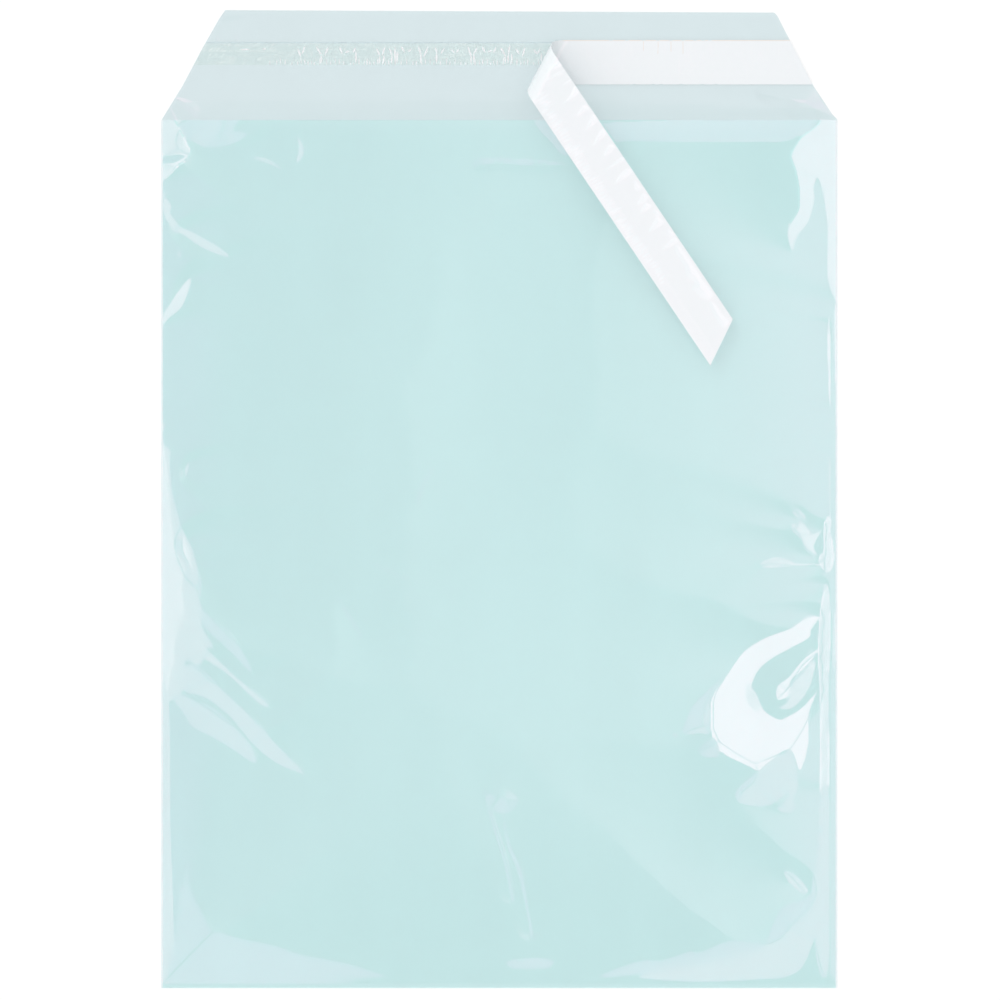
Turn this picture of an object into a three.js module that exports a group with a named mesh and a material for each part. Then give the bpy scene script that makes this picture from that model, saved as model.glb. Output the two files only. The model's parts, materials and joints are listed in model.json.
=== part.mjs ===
// A clear self-seal sleeve, lying flat and empty with its flap open and its release liner half peeled.
// Millimetres. X runs across the sleeve, Y towards the flap and Z up from the table it lies on.
import * as THREE from "three";

// Film: one web folded up at the bottom, so that the front ply is shorter than the back by the flap.
const filmThickness = 0.05;
const bodyWidth = 240;
const bodyLength = 308;
const flapLength = 39;
const flapTopWidth = 195;
const flapCornerRadius = 1.2;

// Pocket: the trapped air holds the front ply up, and it drops to the welds and to the bottom fold.
const pocketHeight = 4.6;
const plyGap = 0.15;
const sealWidth = 0.6;
const sealHeight = 0.3;
const sealEdgeHeight = 0.04;
const foldDepth = 1.5;
const sideShoulder = 13;
const bottomShoulder = 18;
const panelSteps = 28;
const shoulderStepShare = 0.35;
const bendSteps = 8;
const cornerSteps = 4;

// Adhesive: a band of pressure-sensitive glue on the inside of the flap, up to its slanted edges.
const adhesiveThickness = 0.08;
const adhesiveWidth = 8.2;
const lipToAdhesive = 19.5;

// Release liner: stuck down on the right, curled back over itself on the left.
const linerThickness = 0.06;
const linerWidth = 15.8;
const lipToLiner = 12.6;
const linerStuckLength = 96.2;
const curlRadius = 5;
const curlAngle = THREE.MathUtils.degToRad(62);
const curlSteps = 20;
const tipClearance = 0.6;
const tailJointGap = 0.3;

// Places that follow from the sizes.
const totalLength = bodyLength + flapLength;
const bottomY = -totalLength / 2;
const lipY = bottomY + bodyLength;
const topY = lipY + flapLength;
const frontLowZ = filmThickness + plyGap;
const foldHeight = frontLowZ + filmThickness;
const panelHalfWidth = bodyWidth / 2 - sealWidth;
const panelBottomY = bottomY + foldDepth;
const flapSlant = (bodyWidth - flapTopWidth) / 2 / flapLength;
const adhesiveTopZ = filmThickness + adhesiveThickness;

// Looks for a quick view.
const clearFilm = { color: 0xc9e8e8, roughness: 0.12, metalness: 0, transparent: true, opacity: 0.55 };
const weldedFilm = { ...clearFilm, color: 0xdff0f2, roughness: 0.35 };
const flapFilm = { ...clearFilm, color: 0xd9e7ea };
const glue = { color: 0xd8e6e4, roughness: 0.45, metalness: 0, transparent: true, opacity: 0.7 };
const linerPlastic = { color: 0xf4f7f9, roughness: 0.4, metalness: 0 };

const sleeve = new THREE.Group();

function addPart(name, geometry, look) {
  const mesh = new THREE.Mesh(geometry, new THREE.MeshStandardMaterial(look));
  mesh.name = name;
  sleeve.add(mesh);
}

// A closed plate between two surfaces that are both given as (u, v), each from 0 to 1.
function plateBetween(uSteps, vSteps, lower, upper) {
  const positions = [];
  const faces = [];
  const row = uSteps + 1;
  const layer = row * (vSteps + 1);
  for (const surface of [lower, upper]) {
    for (let j = 0; j <= vSteps; j++) {
      for (let i = 0; i <= uSteps; i++) {
        positions.push(...surface(i / uSteps, j / vSteps));
      }
    }
  }
  const quad = (a, b, c, d) => faces.push(a, b, c, a, c, d);
  for (let j = 0; j < vSteps; j++) {
    for (let i = 0; i < uSteps; i++) {
      const k = j * row + i;
      quad(k, k + row, k + row + 1, k + 1);
      quad(layer + k, layer + k + 1, layer + k + row + 1, layer + k + row);
    }
  }
  for (let i = 0; i < uSteps; i++) {
    const far = vSteps * row + i;
    quad(i, i + 1, layer + i + 1, layer + i);
    quad(far + 1, far, layer + far, layer + far + 1);
  }
  for (let j = 0; j < vSteps; j++) {
    const near = j * row;
    const far = near + uSteps;
    quad(near + row, near, layer + near, layer + near + row);
    quad(far, far + row, layer + far + row, layer + far);
  }
  const geometry = new THREE.BufferGeometry();
  geometry.setAttribute("position", new THREE.Float32BufferAttribute(positions, 3));
  geometry.setIndex(faces);
  return geometry;
}

// A flat plate cut to an outline drawn in X and Y.
function flatPlate(outline, lowZ, thickness) {
  const plate = new THREE.ExtrudeGeometry(outline, {
    depth: thickness,
    bevelEnabled: false,
    curveSegments: cornerSteps,
  });
  return plate.translate(0, 0, lowZ);
}

// A bar whose section is drawn in Y (to the left) and Z, running along X from -halfLength to halfLength.
function barAlongX(section, halfLength) {
  const bar = new THREE.ExtrudeGeometry(section, {
    depth: 2 * halfLength,
    bevelEnabled: false,
    curveSegments: bendSteps,
  });
  bar.translate(0, 0, -halfLength);
  const xAxis = new THREE.Vector3(1, 0, 0);
  const yAxis = new THREE.Vector3(0, 1, 0);
  const zAxis = new THREE.Vector3(0, 0, 1);
  bar.applyMatrix4(new THREE.Matrix4().makeBasis(yAxis, zAxis, xAxis));
  return bar;
}

const smooth = (t) => THREE.MathUtils.smoothstep(t, 0, 1);

// Underside of the front ply: a low pillow, open at the lip.
function frontPlyZ(x, y) {
  const side = smooth((panelHalfWidth - Math.abs(x)) / sideShoulder);
  const bottom = smooth((y - panelBottomY) / bottomShoulder);
  return frontLowZ + (pocketHeight + filmThickness - frontLowZ) * side * bottom;
}

function makeBackPanel() {
  const outline = new THREE.Shape();
  outline.moveTo(-panelHalfWidth, panelBottomY);
  outline.lineTo(panelHalfWidth, panelBottomY);
  outline.lineTo(panelHalfWidth, lipY);
  outline.lineTo(-panelHalfWidth, lipY);
  return flatPlate(outline, 0, filmThickness);
}

// The grid's lines lie closer together over the shoulders, where the ply bends.
function makeFrontPanel() {
  const spread = (t, shoulder, span) => {
    const share = Math.min(shoulderStepShare, shoulder / span);
    const past = (t - shoulderStepShare) / (1 - shoulderStepShare);
    return past < 0 ? (t / shoulderStepShare) * share : share + past * (1 - share);
  };
  const place = (u, v, lift) => {
    const side = Math.abs(2 * u - 1);
    const fromSeal = spread(1 - side, sideShoulder, panelHalfWidth) * panelHalfWidth;
    const x = Math.sign(2 * u - 1) * (panelHalfWidth - fromSeal);
    const y = panelBottomY + spread(v, bottomShoulder, lipY - panelBottomY) * (lipY - panelBottomY);
    return [x, y, frontPlyZ(x, y) + lift];
  };
  return plateBetween(
    panelSteps,
    panelSteps / 2,
    (u, v) => place(u, v, 0),
    (u, v) => place(u, v, filmThickness),
  );
}

// The web turns through half a circle here, with a short leg of each ply.
function makeBottomFold() {
  const outerRadius = foldHeight / 2;
  const innerRadius = plyGap / 2;
  const centreY = bottomY + outerRadius;
  const section = new THREE.Shape();
  section.moveTo(panelBottomY, 0);
  section.lineTo(panelBottomY, filmThickness);
  section.lineTo(centreY, filmThickness);
  section.absarc(centreY, outerRadius, innerRadius, -Math.PI / 2, Math.PI / 2, true);
  section.lineTo(panelBottomY, frontLowZ);
  section.lineTo(panelBottomY, foldHeight);
  section.lineTo(centreY, foldHeight);
  section.absarc(centreY, outerRadius, outerRadius, Math.PI / 2, -Math.PI / 2, false);
  return barAlongX(section, panelHalfWidth);
}

// The hot knife cuts and welds both plies in one pass and leaves a small round bead.
function makeSideSeal(side) {
  const inner = side * panelHalfWidth;
  const outer = side * (bodyWidth / 2);
  const place = (u, v, up) => {
    const turn = ((side > 0 ? u : 1 - u) * Math.PI) / 2;
    const x = inner + (outer - inner) * Math.sin(turn);
    const height = Math.max(sealHeight * Math.cos(turn), sealEdgeHeight);
    return [x, bottomY + v * bodyLength, (sealHeight + up * height) / 2];
  };
  return plateBetween(
    bendSteps,
    1,
    (u, v) => place(u, v, -1),
    (u, v) => place(u, v, 1),
  );
}

const flapHalfWidth = (y) => bodyWidth / 2 - (y - lipY) * flapSlant;

function makeFlap() {
  const slantLength = Math.hypot(1, flapSlant);
  const cornerX = flapTopWidth / 2;
  const runX = (flapCornerRadius * flapSlant) / slantLength;
  const runY = flapCornerRadius / slantLength;
  const outline = new THREE.Shape();
  outline.moveTo(-bodyWidth / 2, lipY);
  outline.lineTo(bodyWidth / 2, lipY);
  outline.lineTo(cornerX + runX, topY - runY);
  outline.quadraticCurveTo(cornerX, topY, cornerX - flapCornerRadius, topY);
  outline.lineTo(-cornerX + flapCornerRadius, topY);
  outline.quadraticCurveTo(-cornerX, topY, -cornerX - runX, topY - runY);
  return flatPlate(outline, 0, filmThickness);
}

// A band across the flap between two heights above the lip, cut with the flap's own slant.
function makeAdhesive() {
  const low = lipY + lipToAdhesive;
  const high = low + adhesiveWidth;
  const outline = new THREE.Shape();
  outline.moveTo(-flapHalfWidth(low), low);
  outline.lineTo(flapHalfWidth(low), low);
  outline.lineTo(flapHalfWidth(high), high);
  outline.lineTo(-flapHalfWidth(high), high);
  return flatPlate(outline, filmThickness, adhesiveThickness);
}

// The liner bends round a line in the plane of the flap, which leans to the left of the sleeve's own axis.
const linerLowY = lipY + lipToLiner;
const curlStartX = flapHalfWidth(linerLowY) - linerStuckLength;
const alongX = -Math.cos(curlAngle);
const alongY = -Math.sin(curlAngle);
const acrossX = -Math.sin(curlAngle);
const acrossY = Math.cos(curlAngle);

// X of the liner while it still lay flat, for a height over its lower edge and a distance past the curl.
const flatX = (height, past) => curlStartX + (height * acrossY - past) / -acrossX;
const pastAtFlapEdge = (height) => {
  const x = -flapHalfWidth(linerLowY + height);
  return (x - curlStartX) * acrossX + height * acrossY;
};

// The curl turns a little past half a circle, so that the tail comes down to the front ply at its tip.
const tailReach = pastAtFlapEdge(0) - Math.PI * curlRadius;
const curlTopZ = adhesiveTopZ + 2 * curlRadius;
const tipZ = pocketHeight + 2 * filmThickness + tipClearance;
const tailDrop = curlTopZ - linerThickness - tipZ;
const droop = Math.asin(tailDrop / tailReach);
const curlTurn = Math.PI + droop;
const curlArc = curlTurn * curlRadius;

// A point of the liner after peeling. The height and the distance are those of the flat strip, and the depth
// is taken from its underside, which is the outside of the curl.
function peeled(height, past, depth) {
  const turn = Math.min(Math.max(past, 0) / curlRadius, curlTurn);
  const beyond = Math.max(past - curlArc, 0);
  const radius = curlRadius - depth;
  const along = (past * acrossY - height) / -alongY;
  const across = Math.min(past, 0) + radius * Math.sin(turn) + beyond * Math.cos(turn);
  const z = adhesiveTopZ + curlRadius - radius * Math.cos(turn) + beyond * Math.sin(turn);
  return [
    curlStartX + along * alongX + across * acrossX,
    linerLowY + along * alongY + across * acrossY,
    z,
  ];
}

function makeLinerBand() {
  const highY = linerLowY + linerWidth;
  const outline = new THREE.Shape();
  outline.moveTo(curlStartX, linerLowY);
  outline.lineTo(flapHalfWidth(linerLowY), linerLowY);
  outline.lineTo(flapHalfWidth(highY), highY);
  outline.lineTo(flatX(linerWidth, 0), highY);
  return flatPlate(outline, adhesiveTopZ, linerThickness);
}

function makePeeledLiner(steps, start, end) {
  const place = (u, v, depth) => {
    const height = v * linerWidth;
    return peeled(height, start + (end(height) - start) * u, depth);
  };
  return plateBetween(
    steps,
    1,
    (u, v) => place(u, v, linerThickness),
    (u, v) => place(u, v, 0),
  );
}

addPart("back_panel", makeBackPanel(), clearFilm);
addPart("front_panel", makeFrontPanel(), clearFilm);
addPart("bottom_fold", makeBottomFold(), clearFilm);
addPart("left_side_seal", makeSideSeal(-1), weldedFilm);
addPart("right_side_seal", makeSideSeal(1), weldedFilm);
addPart("flap", makeFlap(), flapFilm);
addPart("adhesive_strip", makeAdhesive(), glue);
addPart("liner_band", makeLinerBand(), linerPlastic);
addPart("liner_curl", makePeeledLiner(curlSteps, 0, () => curlArc), linerPlastic);
addPart("liner_tail", makePeeledLiner(1, curlArc + tailJointGap, pastAtFlapEdge), linerPlastic);

export default sleeve;
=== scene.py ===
# A clear self-seal sleeve, lying flat and empty on a white table with its release liner half peeled
import json
import math
import random

import bpy
import numpy as np
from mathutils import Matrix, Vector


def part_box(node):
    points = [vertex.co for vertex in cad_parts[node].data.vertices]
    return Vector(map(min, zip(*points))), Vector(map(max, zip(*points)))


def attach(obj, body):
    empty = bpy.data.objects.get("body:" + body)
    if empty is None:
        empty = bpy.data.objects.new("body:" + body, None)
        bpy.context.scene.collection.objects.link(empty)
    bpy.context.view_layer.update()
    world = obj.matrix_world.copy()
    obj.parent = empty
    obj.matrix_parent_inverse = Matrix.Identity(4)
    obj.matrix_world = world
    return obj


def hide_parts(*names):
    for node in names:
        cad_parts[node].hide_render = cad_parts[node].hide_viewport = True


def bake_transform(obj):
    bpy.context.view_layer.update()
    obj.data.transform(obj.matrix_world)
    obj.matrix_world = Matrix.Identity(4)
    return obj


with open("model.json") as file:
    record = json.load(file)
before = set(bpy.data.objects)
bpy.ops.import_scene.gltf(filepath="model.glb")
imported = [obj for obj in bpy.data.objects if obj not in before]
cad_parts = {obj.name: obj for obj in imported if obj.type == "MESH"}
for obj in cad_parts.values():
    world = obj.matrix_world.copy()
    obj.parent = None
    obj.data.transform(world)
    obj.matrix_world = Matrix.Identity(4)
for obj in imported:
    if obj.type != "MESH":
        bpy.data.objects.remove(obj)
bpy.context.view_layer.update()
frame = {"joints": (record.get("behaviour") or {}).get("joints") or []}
mm = 0.001
random.seed(7)

# the photograph is 1000 pixels wide and looks straight down, so a pixel is a length on the table
photo = {"centreX": 499.25, "lipRow": 120.0, "pixel": 0.3548 * mm}

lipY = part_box("back_panel")[1].y
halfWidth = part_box("right_side_seal")[1].x
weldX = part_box("back_panel")[1].x
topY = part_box("flap")[1].y
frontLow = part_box("front_panel")[0]


def onTable(px, py):
    x = (px - photo["centreX"]) * photo["pixel"]
    y = lipY + (photo["lipRow"] - py) * photo["pixel"]
    return x, y


def inPhoto(x, y):
    return photo["centreX"] + x / photo["pixel"], photo["lipRow"] - (y - lipY) / photo["pixel"]


def smooth(t):
    t = np.clip(t, 0, 1)
    return t * t * (3 - 2 * t)


# Meshes


def selectOnly(piece):
    bpy.ops.object.select_all(action="DESELECT")
    piece.select_set(True)
    bpy.context.view_layer.objects.active = piece


def addGrid(name, columns, rows):
    bpy.ops.object.select_all(action="DESELECT")
    bpy.ops.mesh.primitive_grid_add(x_subdivisions=columns, y_subdivisions=rows, size=1)
    grid = bpy.context.object
    grid.name = grid.data.name = name
    return grid


def places(piece):
    co = np.empty(len(piece.data.vertices) * 3)
    piece.data.vertices.foreach_get("co", co)
    return co.reshape(-1, 3)


def faceCentres(piece):
    centres = np.empty(len(piece.data.polygons) * 3)
    piece.data.polygons.foreach_get("center", centres)
    return centres.reshape(-1, 3)


def shares(co):
    # a new grid is centred and one wide, so these run from 0 to 1 across it and along it
    return co[:, 0] + 0.5, co[:, 1] + 0.5


def moveVertices(piece, x, y, z, flatX=None, flatY=None):
    co = np.stack([x, y, z], axis=1)
    piece.data.vertices.foreach_set("co", co.ravel())
    # the UV map holds the place on the flat film in metres, so that a pattern stays on the film when it folds
    flatPlace = np.stack([x if flatX is None else flatX, y if flatY is None else flatY], axis=1)
    corners = np.empty(len(piece.data.loops), int)
    piece.data.loops.foreach_get("vertex_index", corners)
    uvMap = piece.data.uv_layers.active or piece.data.uv_layers.new(name="flatPlace")
    uvMap.data.foreach_set("uv", flatPlace[corners].ravel())
    piece.data.update()


def apply(piece, kind, **settings):
    selectOnly(piece)
    modifier = piece.modifiers.new(kind.title(), kind)
    for key, value in settings.items():
        setattr(modifier, key, value)
    bpy.ops.object.modifier_apply(modifier=modifier.name)


def halveFaces(piece, chosen):
    selectOnly(piece)
    mesh = piece.data
    mesh.vertices.foreach_set("select", np.zeros(len(mesh.vertices), bool))
    mesh.edges.foreach_set("select", np.zeros(len(mesh.edges), bool))
    mesh.polygons.foreach_set("select", chosen)
    bpy.context.tool_settings.mesh_select_mode = (False, False, True)
    bpy.ops.object.mode_set(mode="EDIT")
    bpy.ops.mesh.subdivide(number_cuts=1, ngon=True)
    bpy.ops.object.mode_set(mode="OBJECT")


def finishPiece(piece, material, slot, nodes, body=None, bend=None, sharp=40):
    selectOnly(piece)
    bpy.ops.object.shade_smooth_by_angle(angle=math.radians(sharp))
    piece.data.materials.append(material)
    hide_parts(*nodes)
    if bend:
        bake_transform(piece)
    else:
        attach(piece, body)
    print(piece.name, len(piece.data.vertices), "vertices")


# Materials


def linear(hexColour):
    parts = [int(hexColour[i : i + 2], 16) / 255 for i in (0, 2, 4)]
    return [c / 12.92 if c <= 0.04045 else ((c + 0.055) / 1.055) ** 2.4 for c in parts] + [1]


def addNode(tree, kind, values=None, links=None, **settings):
    made = tree.nodes.new(kind)
    for key, value in settings.items():
        setattr(made, key, value)
    for socket, value in (values or {}).items():
        made.inputs[socket].default_value = value
    for socket, source in (links or {}).items():
        tree.links.new(source, made.inputs[socket])
    return made


def newMaterial(name):
    made = bpy.data.materials.new(name)
    made.use_nodes = True
    made.node_tree.nodes.clear()
    return made, made.node_tree


# Oriented polypropylene film, cast and stretched: polished on both faces, so it mirrors a little of the
# lights, and it lets the table show through with a faint tint
def polypropyleneFilm(name, tint, haze=0.01, roughness=0.05, bumpHeight=0.007 * mm, mirrored=0.043):
    made, tree = newMaterial(name)
    place = addNode(tree, "ShaderNodeTexCoord")
    flat = {"Vector": place.outputs["UV"]}
    # stretching leaves long faint bands along the web, 20 mm wide and 120 mm long
    web = addNode(tree, "ShaderNodeMapping", {"Scale": (1 / (20 * mm), 1 / (120 * mm), 1)}, flat)
    bands = addNode(tree, "ShaderNodeTexNoise", {"Scale": 1.0, "Detail": 3.0}, {"Vector": web.outputs[0]})
    faint = {"To Min": 0.992, "To Max": 1.0}
    strength = addNode(tree, "ShaderNodeMapRange", faint, {"Value": bands.outputs[0]})
    tone = addNode(
        tree, "ShaderNodeVectorMath", {0: linear(tint)[:3]}, {1: strength.outputs[0]}, operation="MULTIPLY"
    )
    clear = addNode(tree, "ShaderNodeBsdfTransparent", links={"Color": tone.outputs[0]})
    # orange peel of the rolled surface, ten millimetres across
    peel = addNode(tree, "ShaderNodeTexNoise", {"Scale": 1 / (10 * mm), "Detail": 2.0}, flat)
    bump = addNode(
        tree, "ShaderNodeBump", {"Strength": 1.0, "Distance": bumpHeight}, {"Height": peel.outputs[0]}
    )
    polished = {"Color": (1, 1, 1, 1), "Roughness": roughness}
    gloss = addNode(tree, "ShaderNodeBsdfAnisotropic", polished, {"Normal": bump.outputs[0]})
    facing = addNode(tree, "ShaderNodeLayerWeight", {"Blend": 0.5}, {"Normal": bump.outputs[0]})
    steep = addNode(tree, "ShaderNodeMath", {1: 5.0}, {0: facing.outputs["Facing"]}, operation="POWER")
    mirror = addNode(
        tree, "ShaderNodeMapRange", {"To Min": mirrored, "To Max": 0.9}, {"Value": steep.outputs[0]}
    )
    dull = addNode(tree, "ShaderNodeBsdfDiffuse", {"Color": (0.95, 0.95, 0.95, 1)})
    hazy = addNode(tree, "ShaderNodeMixShader", {"Fac": haze}, {1: clear.outputs[0], 2: dull.outputs[0]})
    both = addNode(
        tree, "ShaderNodeMixShader", None, {0: mirror.outputs[0], 1: hazy.outputs[0], 2: gloss.outputs[0]}
    )
    addNode(tree, "ShaderNodeOutputMaterial", links={"Surface": both.outputs[0]})
    return made


# Silicone-coated white film, satin on both sides, through which some light passes
def releaseLinerFilm(name, darkTone, lightTone):
    made, tree = newMaterial(name)
    place = addNode(tree, "ShaderNodeTexCoord")
    # the coating lies in a fine grain, drawn two millimetres across, as coarse as it needs to show
    coating = {"Scale": 1 / (2 * mm), "Detail": 4.0}
    grain = addNode(tree, "ShaderNodeTexNoise", coating, {"Vector": place.outputs["UV"]})
    tones = {6: linear(darkTone), 7: linear(lightTone)}
    tone = addNode(tree, "ShaderNodeMix", tones, {0: grain.outputs[0]}, data_type="RGBA")
    depth = {"Strength": 0.3, "Distance": 0.01 * mm}
    bump = addNode(tree, "ShaderNodeBump", depth, {"Height": grain.outputs[0]})
    body = addNode(
        tree,
        "ShaderNodeBsdfPrincipled",
        {"Roughness": 0.2, "IOR": 1.5, "Specular IOR Level": 0.5},
        {"Base Color": tone.outputs[2], "Normal": bump.outputs[0]},
    )
    through = addNode(tree, "ShaderNodeBsdfTranslucent", links={"Color": tone.outputs[2]})
    both = addNode(tree, "ShaderNodeMixShader", {"Fac": 0.1}, {1: body.outputs[0], 2: through.outputs[0]})
    addNode(tree, "ShaderNodeOutputMaterial", links={"Surface": both.outputs[0]})
    return made


# each face of a ply tints what shows through it once
pocketFilm = polypropyleneFilm("clearFilmPocket", "f7fefe", roughness=0.03)
flapFilm = polypropyleneFilm("clearFilmFlap", "f3f9fa", roughness=0.03)
# the weld's bead was melted by a hot knife, so it is hazy and no longer polished
weldFilm = polypropyleneFilm("weldedFilm", "f6fbfc", haze=0.02, roughness=0.2, bumpHeight=0.02 * mm)
# the glue is a clear acrylic that was rolled on, less polished than the film
glueFilm = polypropyleneFilm("acrylicGlue", "fcfffd", roughness=0.10, bumpHeight=0.004 * mm, mirrored=0.03)
# where the glue is drawn up it turns milky, and that milky white also stands as a painted highlight on its
# puckers
drawnGlueHighlit = polypropyleneFilm("acrylicGlueDrawnHighlit", "ffffff", haze=0.5, roughness=0.10, mirrored=0.012)
# the glue's lower face touches the film, so it mirrors nothing
glueUnder = polypropyleneFilm("acrylicGlueUnderside", "ffffff", haze=0.0, mirrored=0.0)
# its upper edge, a little darker and hazier: partly a thicker bead of glue, partly painted shade along the
# edge
glueBeadShaded = polypropyleneFilm("acrylicGlueBeadShaded", "f9fbfc", haze=0.02, roughness=0.12, mirrored=0.012)
linerFilm = releaseLinerFilm("siliconeCoatedLiner", "f4f9fb", "f6fbfd")
# stretched film whitens in its creases, and this lighter tone also paints the highlights on the crimps
crimpWhiteningAndHighlightFilm = releaseLinerFilm("siliconeCoatedLinerCreasedHighlit", "f4fbfd", "f6fdff")
# its cut edge is warmer, and its tears are thin warm lines of painted crease shade
cutEdgeAndTearShadeFilm = releaseLinerFilm("siliconeCoatedLinerEdgeTearShade", "f0ece6", "f5f1ec")
print("materials", len(bpy.data.materials))

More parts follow.
